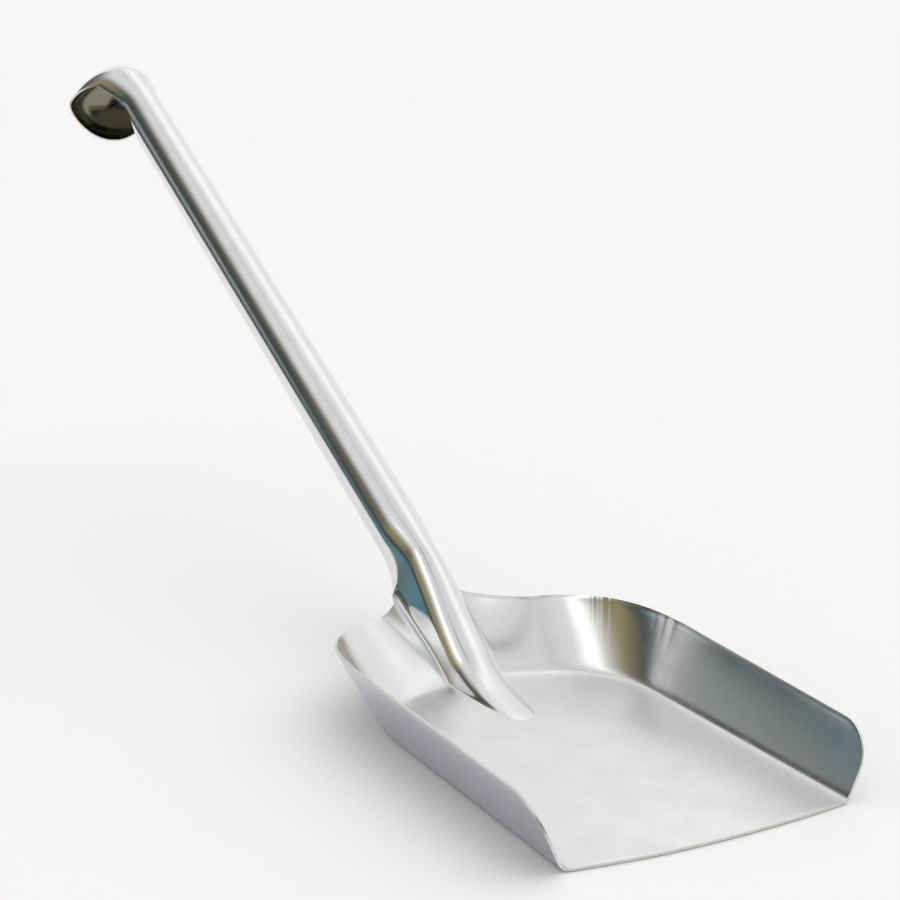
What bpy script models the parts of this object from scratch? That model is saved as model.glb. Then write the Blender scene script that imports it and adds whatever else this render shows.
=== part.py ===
"""Pressed steel scoop shovel: a shallow pan and a rolled tube handle that ends in a hanging hook.

The pan is a tray, open at its front lip, with flared sides and a rear wall that leans back. The
handle is a strip of the same sheet rolled into a tube with its seam underneath. Its lower end is an
arched foot let into the rear wall and the floor of the pan, and its upper end opens out and curls
over. Metres, +Z up, +Y from the lip towards the handle. The origin is on the underside of the
floor, half way between the lip corners and the rear crease.
"""
import math

import bmesh
import bpy
from mathutils import Vector

# Sheet
SHEET = 0.0009
JOINT_GAP = 0.0003

# Pan floor
FLOOR_WIDTH = 0.100
FLOOR_LENGTH = 0.143
LIP_BOW = 0.004
REAR_ROUND_LENGTH = 0.040
REAR_ROUND_POWER = 2.2

# Pan walls: heights of the rim, and how far it stands out from the floor's edge. A belly above 1
# makes a wall lean out most at its foot
FRONT_HEIGHT = 0.0217
CORNER_HEIGHT = 0.0244
REAR_HEIGHT = 0.021
FRONT_FLARE = 0.0088
CORNER_FLARE = 0.011
REAR_LEAN = 0.022
RIM_ROUND_POWER = 2.8
SIDE_BELLY = 1.4
REAR_BELLY = 1.0
FRONT_CORNER_RADIUS = 0.0135

# Flare of the rear rim into the handle: how far it would run back at the centre line, and how far
# from the centre line it begins
FLARE_BACK = 0.038
FLARE_REACH = 0.0265
FLARE_POWER = 1.15

# Handle tube: HANDLE_RISE is the height of its top line above the rear crease
TUBE_DIAMETER = 0.020
SEAM_WIDTH = 0.0008
HANDLE_SLOPE = math.radians(26.9)
HANDLE_RISE = 0.0206
HANDLE_LENGTH = 0.4113
NECK_LENGTH = 0.019
NECK_POWER = 2.2

# Arched foot of the handle: FOOT_RISE is the height of its crest above the rear crease. An arch with
# a power above 1 is pointed, and one below 1 is full
FOOT_LENGTH = 0.0406
FOOT_TIP_ROUND = 0.008
FOOT_TIP_WIDTH = 0.0146
FOOT_RIM_WIDTH = 0.023
FOOT_RISE = 0.0105
FOOT_TIP_SLOPE = math.radians(11)
FOOT_BEND_SLOPE = math.radians(30)
FOOT_FLOOR_POWER = 1.5
FOOT_RIM_POWER = 0.75

# Hanging hook: the tube opens to a narrow gutter, which curls over and widens into a tongue
OPENING_LENGTH = 0.045
GUTTER_WIDTH = 0.0195
GUTTER_LENGTH = 0.0255
HOOK_RADIUS = 0.020
HOOK_TURN = math.radians(183)
TONGUE_TURN = math.radians(124)
HOOK_WIDTH = 0.057
HOOK_DISH = 0.0098
TONGUE_END_WIDTH = 0.006

# Mesh fineness, and the angle between faces above which an edge looks sharp
SHARP_ANGLE = math.radians(24)
WALL_STEPS = 4
LIP_STEPS = 12
FRONT_CORNER_STEPS = 6
SIDE_STEPS = 4
REAR_STEPS = 22
SECTION_STEPS = 32
FOOT_TIP_STEPS = 5
FOOT_FLOOR_STEPS = 5
FOOT_WALL_STEPS = 6
NECK_STEPS = 7
OPENING_STEPS = 6
GUTTER_STEPS = 4
CURL_STEPS = 10
TONGUE_STEPS = 7

# Finishes: colour, roughness and metallic value
PAN_ZINC = ("pan_zinc", (0.62, 0.63, 0.63, 1.0), 0.34, 1.0)
HANDLE_ZINC = ("handle_zinc", (0.66, 0.67, 0.67, 1.0), 0.22, 1.0)

# Worked out from the values above
LIP_Y = -FLOOR_LENGTH / 2
CREASE_Y = FLOOR_LENGTH / 2
REAR_START_Y = CREASE_Y - REAR_ROUND_LENGTH
FLOOR_HALF = FLOOR_WIDTH / 2
RIM_HALF = FLOOR_HALF + CORNER_FLARE
FOOT_TIP_Y = CREASE_Y - FOOT_LENGTH
TUBE_RADIUS = TUBE_DIAMETER / 2
TUBE_END_TURN = math.pi - SEAM_WIDTH / TUBE_DIAMETER
ALONG = Vector((0, math.cos(HANDLE_SLOPE), math.sin(HANDLE_SLOPE)))
ABOVE = Vector((0, -math.sin(HANDLE_SLOPE), math.cos(HANDLE_SLOPE)))
CREST_START = Vector((0, CREASE_Y, HANDLE_RISE))
QUARTER = math.pi / 2


def blend(low, high, share):
    """Value between low and high at a share from 0 to 1."""
    return low + (high - low) * share


def ease(share):
    """Share from 0 to 1 with a soft start and a soft end, held outside that range."""
    held = min(max(share, 0.0), 1.0)
    return held * held * (3 - 2 * held)


def round_point(half, depth, power, turn):
    """Point on a squared-off quarter round, from the side (turn 0) to the middle (a quarter turn)."""
    across = half * max(math.cos(turn), 0.0) ** (2 / power)
    back = depth * math.sin(turn) ** (2 / power)
    return across, back


def round_back(half, depth, power, across):
    """How far back a squared-off quarter round reaches at a distance from the middle."""
    return depth * (1 - (across / half) ** power) ** (1 / power)


def rim_flare(across):
    """How far the rear rim runs back to the handle at a distance from the middle."""
    return FLARE_BACK * max(0.0, 1 - across / FLARE_REACH) ** FLARE_POWER


def wall_station(edge, rim, height, belly):
    """Points up one wall on the right side, from the floor's edge to the rim."""
    points = []
    for step in range(WALL_STEPS + 1):
        share = step / WALL_STEPS
        out = 1 - (1 - share) ** belly
        points.append(Vector((blend(edge[0], rim[0], out), blend(edge[1], rim[1], out), height * share)))
    return points


def front_station(turn):
    """Wall points in the rounded front corner, where the wall is cut lower than its full height."""
    y = LIP_Y + FRONT_CORNER_RADIUS * (1 - math.cos(turn))
    height = FRONT_HEIGHT - FRONT_CORNER_RADIUS * (1 - math.sin(turn))
    share = height / FRONT_HEIGHT
    flare = FRONT_FLARE * (1 - (1 - share) ** SIDE_BELLY)
    return wall_station((FLOOR_HALF, y), (FLOOR_HALF + flare, y), height, SIDE_BELLY)


def side_station(share):
    """Wall points along the straight side, from behind the front corner to the rear round."""
    y = blend(LIP_Y + FRONT_CORNER_RADIUS, REAR_START_Y, share)
    flare = blend(FRONT_FLARE, CORNER_FLARE, share)
    height = blend(FRONT_HEIGHT, CORNER_HEIGHT, share)
    return wall_station((FLOOR_HALF, y), (FLOOR_HALF + flare, y), height, SIDE_BELLY)


def rear_station(turn):
    """Wall points round the rear, from the side (turn 0) to the middle (a quarter turn)."""
    edge_x, edge_back = round_point(FLOOR_HALF, REAR_ROUND_LENGTH, REAR_ROUND_POWER, turn)
    rim_x, rim_back = round_point(RIM_HALF, REAR_ROUND_LENGTH + REAR_LEAN, RIM_ROUND_POWER, turn)
    sideways = math.cos(turn) ** 2
    edge = (edge_x, REAR_START_Y + edge_back)
    rim = (rim_x, REAR_START_Y + rim_back + rim_flare(rim_x))
    height = blend(REAR_HEIGHT, CORNER_HEIGHT, sideways)
    return wall_station(edge, rim, height, blend(REAR_BELLY, SIDE_BELLY, sideways))


def rear_profile(across):
    """Places of the floor's edge and of the rear rim at a distance from the middle."""
    edge_y = REAR_START_Y + round_back(FLOOR_HALF, REAR_ROUND_LENGTH, REAR_ROUND_POWER, across)
    rim_back = round_back(RIM_HALF, REAR_ROUND_LENGTH + REAR_LEAN, RIM_ROUND_POWER, across)
    return edge_y, REAR_START_Y + rim_back + rim_flare(across)


def zinc(finish):
    """Principled material from a finish."""
    name, colour, roughness, metallic = finish
    material = bpy.data.materials.new(name)
    material.use_nodes = True
    shader = material.node_tree.nodes["Principled BSDF"]
    shader.inputs["Base Color"].default_value = colour
    shader.inputs["Roughness"].default_value = roughness
    shader.inputs["Metallic"].default_value = metallic
    return material


def new_object(name, shape, finish=None):
    """Object from a bmesh, shaded smooth where its faces meet at a shallow angle."""
    mesh = bpy.data.meshes.new(name)
    shape.to_mesh(mesh)
    shape.free()
    mesh.shade_smooth()
    mesh.set_sharp_from_angle(angle=SHARP_ANGLE)
    if finish:
        mesh.materials.append(zinc(finish))
    item = bpy.data.objects.new(name, mesh)
    bpy.context.scene.collection.objects.link(item)
    return item


def thicken(item):
    """Give a sheet its thickness, towards the inside."""
    wall = item.modifiers.new("sheet", "SOLIDIFY")
    wall.thickness = SHEET
    wall.offset = -1
    wall.use_even_offset = True


def face_outwards(shape, face, outward):
    """Turn every face the same way, with the given face looking outward."""
    bmesh.ops.recalc_face_normals(shape, faces=shape.faces)
    face.normal_update()
    if face.normal.dot(outward) < 0:
        bmesh.ops.reverse_faces(shape, faces=shape.faces)


def sheet_rows(shape, rows):
    """Quads between neighbouring rows of points. Returns the vertices, row by row."""
    made = [[shape.verts.new(point) for point in row] for row in rows]
    for low, high in zip(made, made[1:]):
        for column in range(len(low) - 1):
            shape.faces.new((low[column], low[column + 1], high[column + 1], high[column]))
    return made


def pan_stations():
    """Wall stations from the right lip corner, round the rear, to the left lip corner."""
    right = [front_station(QUARTER * step / FRONT_CORNER_STEPS) for step in range(FRONT_CORNER_STEPS)]
    right += [side_station(step / SIDE_STEPS) for step in range(SIDE_STEPS + 1)]
    right += [rear_station(QUARTER * step / REAR_STEPS) for step in range(1, REAR_STEPS)]
    middle = rear_station(QUARTER)
    left = [[Vector((-point.x, point.y, point.z)) for point in station] for station in reversed(right)]
    return right + [middle] + left


def make_pan():
    """Tray pressed from one sheet: a flat floor with its walls, slotted for the handle's foot."""
    shape = bmesh.new()
    made = sheet_rows(shape, pan_stations())
    floor_edge = [row[0] for row in made]
    for step in range(1, LIP_STEPS):
        across = blend(-1, 1, step / LIP_STEPS)
        bow = LIP_BOW * (1 - across * across)
        floor_edge.append(shape.verts.new((across * FLOOR_HALF, LIP_Y - bow, 0)))
    floor = shape.faces.new(floor_edge)
    face_outwards(shape, floor, Vector((0, 0, -1)))
    pan = new_object("pan", shape, PAN_ZINC)
    thicken(pan)
    slot = pan.modifiers.new("foot_slot", "BOOLEAN")
    slot.operation = "DIFFERENCE"
    slot.solver = "EXACT"
    slot.object = make_slot_cutter()
    return pan


FOOT_EDGE_Y, FOOT_RIM_Y = rear_profile(FOOT_RIM_WIDTH / 2)


def foot_half_width(y):
    """Half the width of the handle's foot behind its rounded tip."""
    share = (y - FOOT_TIP_Y) / (FOOT_RIM_Y - FOOT_TIP_Y)
    return blend(FOOT_TIP_WIDTH, FOOT_RIM_WIDTH, share) / 2


def foot_tip(turn, gap=0.0):
    """Place and half width on the foot's rounded tip, or on an outline one gap outside it."""
    y = FOOT_TIP_Y + FOOT_TIP_ROUND - (FOOT_TIP_ROUND + gap) * math.cos(turn)
    return y, (foot_half_width(y) + gap) * math.sin(turn)


def make_slot_cutter():
    """Upright block with the outline of the foot in plan, one joint gap larger all round."""
    tip = [foot_tip(QUARTER * step / FOOT_TIP_STEPS, JOINT_GAP) for step in range(1, FOOT_TIP_STEPS + 1)]
    right = [(half, y) for y, half in tip]
    end_y = rear_profile(0)[1] + TUBE_DIAMETER
    right.append((foot_half_width(end_y) + JOINT_GAP, end_y))
    left = [(-x, y) for x, y in reversed(right)]
    outline = left + [(0, FOOT_TIP_Y - JOINT_GAP)] + right
    shape = bmesh.new()
    base = shape.faces.new([shape.verts.new((x, y, -TUBE_DIAMETER)) for x, y in outline])
    raised = bmesh.ops.extrude_face_region(shape, geom=[base])["geom"]
    tops = [item for item in raised if isinstance(item, bmesh.types.BMVert)]
    bmesh.ops.translate(shape, verts=tops, vec=(0, 0, 2 * TUBE_DIAMETER + CORNER_HEIGHT))
    bmesh.ops.recalc_face_normals(shape, faces=shape.faces)
    cutter = new_object("foot_slot_cutter", shape)
    cutter.hide_render = True
    cutter.display_type = "WIRE"
    return cutter


def curve_height(y, start, end):
    """Height of a smooth curve between two points, each given as place, height and slope."""
    span = end[0] - start[0]
    share = (y - start[0]) / span
    left = 1 - share
    height = start[1] * left * left * (1 + 2 * share) + end[1] * share * share * (1 + 2 * left)
    return height + span * share * left * (start[2] * left - end[2] * share)


def tube_top(y):
    """Height of the tube's top line."""
    return HANDLE_RISE + (y - CREASE_Y) * math.tan(HANDLE_SLOPE)


def foot_crest(y):
    """Height of the foot's crest, low along the floor and then up the rear wall to the tube."""
    tip = (FOOT_TIP_Y, SHEET, math.tan(FOOT_TIP_SLOPE))
    bend = (CREASE_Y, FOOT_RISE, math.tan(FOOT_BEND_SLOPE))
    neck = (FOOT_RIM_Y, tube_top(FOOT_RIM_Y), math.tan(HANDLE_SLOPE))
    return curve_height(y, tip, bend) if y < CREASE_Y else curve_height(y, bend, neck)


def upright_row(y, half_width, crest, spring, power, end_turn):
    """Arch across the handle in an upright plane.

    It rises from spring, the height where its sides are widest, to crest. End_turn is how far it
    goes round from the crest to each edge. Below spring it follows the tube.
    """
    row = []
    for step in range(SECTION_STEPS + 1):
        turn = blend(-end_turn, end_turn, step / SECTION_STEPS)
        level = math.cos(turn)
        if level > 0:
            z = spring + (crest - spring) * level ** power
        else:
            z = spring + TUBE_RADIUS * level / math.cos(HANDLE_SLOPE)
        row.append(Vector((half_width * math.sin(turn), y, z)))
    return row


def wall_top(y):
    """Height of the pan's inner surface under the edges of the foot."""
    share = max(0.0, (y - FOOT_EDGE_Y) / (FOOT_RIM_Y - FOOT_EDGE_Y))
    lean = REAR_HEIGHT / (FOOT_RIM_Y - FOOT_EDGE_Y) if share > 0 else 0.0
    rise = REAR_HEIGHT * (1 - (1 - min(share, 1.0)) ** (1 / REAR_BELLY))
    return rise + SHEET * math.hypot(1, lean)


def foot_row(y, half_width):
    """Section of the foot, with its edges on the pan's inner surface."""
    spring = wall_top(y)
    share = max(0.0, (y - CREASE_Y) / (FOOT_RIM_Y - CREASE_Y))
    power = blend(FOOT_FLOOR_POWER, FOOT_RIM_POWER, share)
    return upright_row(y, half_width, max(foot_crest(y), spring), spring, power, QUARTER)


def foot_rows():
    """The arched foot, from its tip on the floor, up the rear wall to the rim."""
    rows = [foot_row(*foot_tip(QUARTER * step / FOOT_TIP_STEPS)) for step in range(1, FOOT_TIP_STEPS)]
    floor_start = FOOT_TIP_Y + FOOT_TIP_ROUND
    places = [blend(floor_start, FOOT_EDGE_Y, step / FOOT_FLOOR_STEPS) for step in range(FOOT_FLOOR_STEPS)]
    places += [blend(FOOT_EDGE_Y, FOOT_RIM_Y, step / FOOT_WALL_STEPS) for step in range(FOOT_WALL_STEPS)]
    return rows + [foot_row(y, foot_half_width(y)) for y in places]


def neck_rows():
    """The neck behind the rim: its sides soon reach the tube's height, and its edges close evenly."""
    rows = []
    for step in range(NECK_STEPS + 1):
        closed = step / NECK_STEPS
        share = 1 - (1 - closed) ** NECK_POWER
        y = FOOT_RIM_Y + NECK_LENGTH * closed
        half_width = blend(FOOT_RIM_WIDTH / 2, TUBE_RADIUS, share)
        tube_middle = tube_top(y) - TUBE_RADIUS / math.cos(HANDLE_SLOPE)
        spring = blend(wall_top(FOOT_RIM_Y), tube_middle, share)
        power = blend(FOOT_RIM_POWER, 1.0, share)
        end_turn = blend(QUARTER, TUBE_END_TURN, closed)
        rows.append(upright_row(y, half_width, tube_top(y), spring, power, end_turn))
    return rows


def arc_row(crest, outward, radius, half_turn):
    """Arc across the strip, square to its length, from one edge over the crest to the other."""
    row = []
    for step in range(SECTION_STEPS + 1):
        turn = blend(-half_turn, half_turn, step / SECTION_STEPS)
        below = radius * (1 - math.cos(turn))
        row.append(crest + Vector((radius * math.sin(turn), 0, 0)) - below * outward)
    return row


def dish_row(crest, outward, half_width, dish):
    """Arc across the strip, of a half width and a depth."""
    radius = (half_width ** 2 + dish ** 2) / (2 * dish)
    return arc_row(crest, outward, radius, 2 * math.atan2(dish, half_width))


def strip_frame(travel):
    """Crest point and outward direction at a distance past the start of the curl, or before it."""
    if travel <= 0:
        return CREST_START + ALONG * (HANDLE_LENGTH + travel), ABOVE
    turn = travel / HOOK_RADIUS
    outward = ABOVE * math.cos(turn) + ALONG * math.sin(turn)
    centre = CREST_START + ALONG * HANDLE_LENGTH - HOOK_RADIUS * ABOVE
    return centre + HOOK_RADIUS * outward, outward


def opening_rows():
    """The end of the tube, where its seam opens until a gutter is left."""
    gutter_turn = math.asin(GUTTER_WIDTH / TUBE_DIAMETER)
    rows = []
    for step in range(OPENING_STEPS + 1):
        share = step / OPENING_STEPS
        travel = -GUTTER_LENGTH - OPENING_LENGTH * (1 - share)
        half_turn = blend(TUBE_END_TURN, gutter_turn, ease(share))
        rows.append(arc_row(*strip_frame(travel), TUBE_RADIUS, half_turn))
    return rows


def hook_rows():
    """The gutter curling over, widening, and rounding off into a tongue."""
    gutter_half = GUTTER_WIDTH / 2
    gutter_dish = TUBE_RADIUS - math.sqrt(TUBE_RADIUS ** 2 - gutter_half ** 2)
    back_travel = HOOK_RADIUS * TONGUE_TURN
    travels = [-GUTTER_LENGTH * (1 - step / GUTTER_STEPS) for step in range(1, GUTTER_STEPS + 1)]
    travels += [back_travel * step / CURL_STEPS for step in range(1, CURL_STEPS + 1)]
    rows = []
    for travel in travels:
        share = ease((travel + GUTTER_LENGTH) / (back_travel + GUTTER_LENGTH))
        half_width = blend(gutter_half, HOOK_WIDTH / 2, share)
        rows.append(dish_row(*strip_frame(travel), half_width, blend(gutter_dish, HOOK_DISH, share)))
    radius = ((HOOK_WIDTH / 2) ** 2 + HOOK_DISH ** 2) / (2 * HOOK_DISH)
    last = math.acos(TONGUE_END_WIDTH / HOOK_WIDTH)
    for step in range(1, TONGUE_STEPS + 1):
        angle = last * step / TONGUE_STEPS
        travel = blend(back_travel, HOOK_RADIUS * HOOK_TURN, math.sin(angle))
        half_turn = math.asin(HOOK_WIDTH / 2 * math.cos(angle) / radius)
        rows.append(arc_row(*strip_frame(travel), radius, half_turn))
    return rows


def make_handle():
    """Strip of sheet: arched foot, neck, rolled tube, and the hook that it curls into."""
    shape = bmesh.new()
    made = sheet_rows(shape, foot_rows() + neck_rows() + opening_rows() + hook_rows())
    neck_row = FOOT_TIP_STEPS + FOOT_FLOOR_STEPS + FOOT_WALL_STEPS
    crest = made[neck_row][SECTION_STEPS // 2]
    face_outwards(shape, crest.link_faces[0], ABOVE)
    handle = new_object("handle", shape, HANDLE_ZINC)
    thicken(handle)
    return handle


def main():
    for item in list(bpy.data.objects):
        bpy.data.objects.remove(item, do_unlink=True)
    make_pan()
    make_handle()


main()
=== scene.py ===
"""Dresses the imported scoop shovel: its pressed pan, its rolled handle and a plain studio stage.

Laid out as an add-on: sizes and finishes are property groups, each piece has its own operator, and a
panel in the 3D view's sidebar lists them. Metres, +Z up, +Y from the lip towards the handle.
"""
import math

import bmesh
import bpy
import numpy as np
from bpy.props import FloatProperty, FloatVectorProperty, PointerProperty
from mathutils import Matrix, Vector


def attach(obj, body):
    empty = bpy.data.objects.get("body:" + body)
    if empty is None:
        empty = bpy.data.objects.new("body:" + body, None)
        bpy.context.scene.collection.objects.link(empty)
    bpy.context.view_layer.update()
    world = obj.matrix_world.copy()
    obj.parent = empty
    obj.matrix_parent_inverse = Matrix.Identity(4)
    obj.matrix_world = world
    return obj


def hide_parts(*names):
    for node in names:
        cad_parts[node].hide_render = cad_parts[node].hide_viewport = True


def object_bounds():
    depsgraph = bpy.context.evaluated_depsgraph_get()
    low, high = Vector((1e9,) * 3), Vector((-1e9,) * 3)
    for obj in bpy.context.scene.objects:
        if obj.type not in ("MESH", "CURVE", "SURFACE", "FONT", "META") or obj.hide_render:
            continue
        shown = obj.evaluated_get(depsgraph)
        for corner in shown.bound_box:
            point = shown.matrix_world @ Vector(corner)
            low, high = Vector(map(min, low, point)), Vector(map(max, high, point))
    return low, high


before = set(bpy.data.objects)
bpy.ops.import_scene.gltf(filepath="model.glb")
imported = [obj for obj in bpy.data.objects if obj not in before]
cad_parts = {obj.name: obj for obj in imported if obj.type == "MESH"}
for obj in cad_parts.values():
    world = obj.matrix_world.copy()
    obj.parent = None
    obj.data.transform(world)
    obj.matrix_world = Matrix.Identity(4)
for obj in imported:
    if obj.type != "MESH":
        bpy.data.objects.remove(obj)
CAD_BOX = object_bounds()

bl_info = {
    "name": "Scoop shovel",
    "version": (1, 0, 0),
    "blender": (4, 5, 0),
    "location": "3D View > Sidebar > Shovel",
    "description": "Makes the pan, the handle and the stage of a pressed zinc scoop shovel",
    "category": "Object",
}

BODY = "root"
QUARTER = math.pi / 2

# A rolled corner spreads ROLL_REACH roll lengths to each side, and lifts by ROLL_HEIGHT of one at its
# middle. The power makes its two halves meet at the same slope
ROLL_REACH = 2.6
ROLL_HEIGHT = 0.4
ROLL_POWER = 3.25

# How the foot's drift grows towards its tip, and how its valley's roll grows towards the rim
DRIFT_POWER = 1.3
VALLEY_POWER = 1.3

# How far the valley is drawn outwards and upwards along the floor, where at the rim it is 1
FLOOR_LEAN_OUT = 0.5
FLOOR_LEAN_UP = 0.85

# Rows and columns crowd towards a bend by this power
CROWDING = 1.5

# Length of straight sides that takes as many columns as the closed half of the tube
FULL_SIDE = 1.7

# How soon the roll of the foot's edges fades out along the neck
NECK_FADE = 1.6

# The drift moves the sheet beside the foot whole up to this share of the rim width from the middle
DRIFT_REACH = 0.6

# How much rougher the pan's floor is than its walls
FLOOR_DULLNESS = 1.7

# How dark the dull spots are under the pan and inside the strip, against the rest there
UNDERSIDE_MOTTLE = 0.95
INSIDE_MOTTLE = 0.9

# Groups of gathers along the rear corners, as places round the rim and their reach
GATHERS = ((2.03, 0.075), (2.37, 0.10))
GATHER_SEED = 3.0

# Studio that the metal mirrors, as patches of colour. Each runs between two directions, in degrees to the
# left of the handle's, and between two heights in degrees. Then come its softness and its colour
SKY_PATCHES = (
    (-115, -18, 40, 60, 12, (1.24, 1.24, 1.22)),
    (64, 116, 56, 68, 4, (1.6, 1.6, 1.57)),
)
FLAG_PATCHES = (
    (22, 44, -12, 6, 3, (0.06, 0.082, 0.08)),
    (22, 44, 9, 18, 3, (0.34, 0.36, 0.345)),
    (53, 140, 20, 80, 3, (0.18, 0.165, 0.11)),
    (60, 80, -9, 10, 3, (0.09, 0.25, 0.31)),
    (46, 60, 4, 11, 3, (0.10, 0.26, 0.31)),
    (63, 140, 24, 80, 3, (0.33, 0.28, 0.14)),
)
ROOM_PATCHES = (
    (-172, -158, 4, 13, 2, (0.45, 1.15, 1.3)),
    (-112, -100, 4, 13, 2, (0.45, 1.15, 1.3)),
)

# The stage's floor lies this far below the part, and the camera's frame is this wide in millimetres
FLOOR_GAP = 0.0002
CAMERA_FRAME = 36.0

# Mesh fineness
FRONT_COLUMNS = 16
SIDE_COLUMNS = 26
REAR_COLUMNS = 150
LIP_COLUMNS = 24
SEAM_COLUMNS = 8
CREASE_ROWS = 7
WALL_ROWS = 26
FOOT_ROWS = 26
TIP_ROWS = 12
NECK_ROWS = 26
TUBE_ROWS = 40
OPENING_ROWS = 26
GUTTER_ROWS = 10
CURL_ROWS = 44
TONGUE_ROWS = 26
STRIP_COLUMNS = 105
TABLE_STEPS = 4000
SHARP_ANGLE = math.radians(48)
PLACE_DIGITS = 7
LEAST_ROOM = 1e-5


def length(name, description, default):
    """Property that holds a length."""
    return FloatProperty(name=name, description=description, default=default, min=0.0, precision=4,
                         subtype="DISTANCE", unit="LENGTH")


def angle(name, description, degrees):
    """Property that holds an angle, with its default in degrees."""
    return FloatProperty(name=name, description=description, default=math.radians(degrees),
                         subtype="ANGLE", unit="ROTATION")


def number(name, description, default):
    """Property that holds a plain number."""
    return FloatProperty(name=name, description=description, default=default)


def factor(name, description, default):
    """Property that holds a share from 0 to 1."""
    return FloatProperty(name=name, description=description, default=default, min=0.0, max=1.0,
                         subtype="FACTOR")


def colour(name, description, default):
    """Property that holds a colour."""
    return FloatVectorProperty(name=name, description=description, default=default, size=3,
                               min=0.0, soft_max=1.0, subtype="COLOR")


class ShovelPan(bpy.types.PropertyGroup):
    """Sizes of the pan."""
    sheet: length("Sheet", "Thickness of the sheet", 0.0009)
    edge_round: length("Edge round", "Rounding along the cut edges", 0.00016)
    floor_width: length("Floor width", "Width of the flat floor", 0.100)
    floor_length: length("Floor length", "Length of the floor from lip corner to rear crease", 0.143)
    lip_bow: length("Lip bow", "How far the lip stands forward at its middle", 0.004)
    crease_roll: length("Crease roll", "Roll length of the bend between floor and walls", 0.0019)
    rear_round: length("Rear round", "Length of the rounded rear of the floor", 0.040)
    rear_round_power: number("Rear squareness", "How square the rear of the floor is", 2.2)
    rim_round_power: number("Rim squareness", "How square the rear rim is", 2.8)
    front_height: length("Front height", "Height of the side rim at the front", 0.0217)
    corner_height: length("Corner height", "Height of the rim at the rear corners", 0.0244)
    rear_height: length("Rear height", "Height of the rear rim", 0.021)
    front_flare: length("Front flare", "How far the side rim stands out at the front", 0.0088)
    corner_flare: length("Corner flare", "How far the rim stands out at the rear corners", 0.011)
    rear_lean: length("Rear lean", "How far the rear rim leans back", 0.022)
    side_belly: number("Side belly", "Above 1 the side wall leans out most at its foot", 1.15)
    rear_belly: number("Rear belly", "Above 1 the rear wall leans out most at its foot", 1.0)
    front_corner: length("Front corner", "Radius of the rounded front corner of the side wall", 0.0135)
    flare_back: length("Rim flare", "How far the rear rim would run back at the centre line", 0.0445)
    flare_reach: length("Rim flare reach", "How far from the centre line the rim flare begins", 0.0335)
    flare_power: number("Rim flare curve", "How hollow the rim flare is", 1.95)
    gather_depth: length("Gather depth", "Depth of the gathers along the rear corners' rim", 0.0006)
    gather_spacing: length("Gather spacing", "Spacing of the gathers", 0.0019)


class ShovelHandle(bpy.types.PropertyGroup):
    """Sizes of the handle's foot, neck, tube and hook."""
    tube_diameter: length("Tube diameter", "Outside diameter of the rolled tube", 0.020)
    seam_width: length("Seam width", "Gap along the underside of the tube", 0.0008)
    slope: angle("Slope", "Angle between the handle and the floor", 26.9)
    rise: length("Rise", "Height of the tube's top line above the rear crease", 0.0206)
    length: length("Length", "Length of the handle from the rear crease to the hook", 0.4113)
    neck_length: length("Neck length", "Length in plan over which the foot closes into the tube", 0.019)
    neck_power: number("Neck curve", "How soon the neck closes", 1.7)
    foot_length: length("Foot length", "Length of the foot along the floor", 0.042)
    foot_fullness: number("Foot fullness", "Above 1 the foot widens most near its tip", 1.7)
    tip_round: length("Tip round", "Length of the foot's rounded tip", 0.007)
    tip_width: length("Tip width", "Width of the foot at its tip", 0.0104)
    tip_drift: length("Tip drift", "How far the tip was pressed off to the left", 0.0033)
    drift_start: length("Drift start", "How far behind the rear crease the drift begins", 0.0105)
    rim_width: length("Foot width at the rim", "Width of the foot where it leaves the pan", 0.024)
    side_bend: angle("Side bend", "How far the foot's arch turns before its sides run straight", 67)
    floor_side: number("Sides on the floor", "Straight sides against the arch, at the tip", 0.36)
    rim_side: number("Sides at the rim", "Straight sides against the arch, at the rim", 1.27)
    foot_rise: length("Foot rise", "Height of the foot's crest above the rear crease", 0.0105)
    tip_slope: angle("Tip slope", "Slope of the crest at the tip", 11)
    bend_slope: angle("Bend slope", "Slope of the crest above the rear crease", 30)
    floor_roll: length("Roll on the floor", "Roll length where the foot meets the floor", 0.00045)
    rim_roll: length("Roll at the rim", "Roll length where the foot meets the rim", 0.0024)
    opening_length: length("Opening length", "Length over which the seam opens", 0.045)
    gutter_width: length("Gutter width", "Width of the open gutter before the hook", 0.0195)
    gutter_length: length("Gutter length", "Length of the gutter before the hook", 0.0255)
    hook_radius: length("Hook radius", "Radius that the hook curls to", 0.020)
    hook_turn: angle("Hook turn", "How far the hook curls over", 183)
    tongue_turn: angle("Tongue turn", "How far round the hook is widest", 119)
    hook_width: length("Hook width", "Width of the hook at its widest", 0.057)
    hook_drift: length("Hook drift", "How far the hook's middle lies to the left", 0.005)
    hook_dish: length("Hook dish", "Depth of the dish across the hook", 0.0125)
    tongue_end: length("Tongue end", "Width at the end of the tongue", 0.006)


class ShovelFinish(bpy.types.PropertyGroup):
    """Colours and gloss of the zinc-plated sheet, and painted shade under the pan and inside the strip."""
    zinc_light: colour("Zinc, light", "Colour of the clean plating", (0.785, 0.79, 0.797))
    zinc_dark: colour("Zinc, dark", "Colour of the dull plating", (0.75, 0.756, 0.768))
    # Painted shade: the pan's underside and outer walls get a darker, lavender-tinted copy of the zinc
    zinc_shaded_underside: colour("Zinc, painted shade underneath", "Painted shade on the plating under the pan", (0.62, 0.635, 0.68))
    # Painted shade and painted reflection: the inside of the strip, seen in the hook's hollow, is dark olive
    zinc_shaded_inside: colour("Zinc, painted shade inside", "Painted shade and reflection inside the strip", (0.24, 0.235, 0.18))
    stain: colour("Strain stain", "Colour of the plating where the sheet was gathered", (0.42, 0.36, 0.27))
    raw_steel: colour("Raw edge", "Colour of the cut edges", (0.72, 0.69, 0.64))
    pan_gloss: factor("Pan roughness", "Roughness of the pan's drawn walls", 0.19)
    handle_gloss: factor("Handle roughness", "Roughness of the handle's plating", 0.15)


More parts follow.
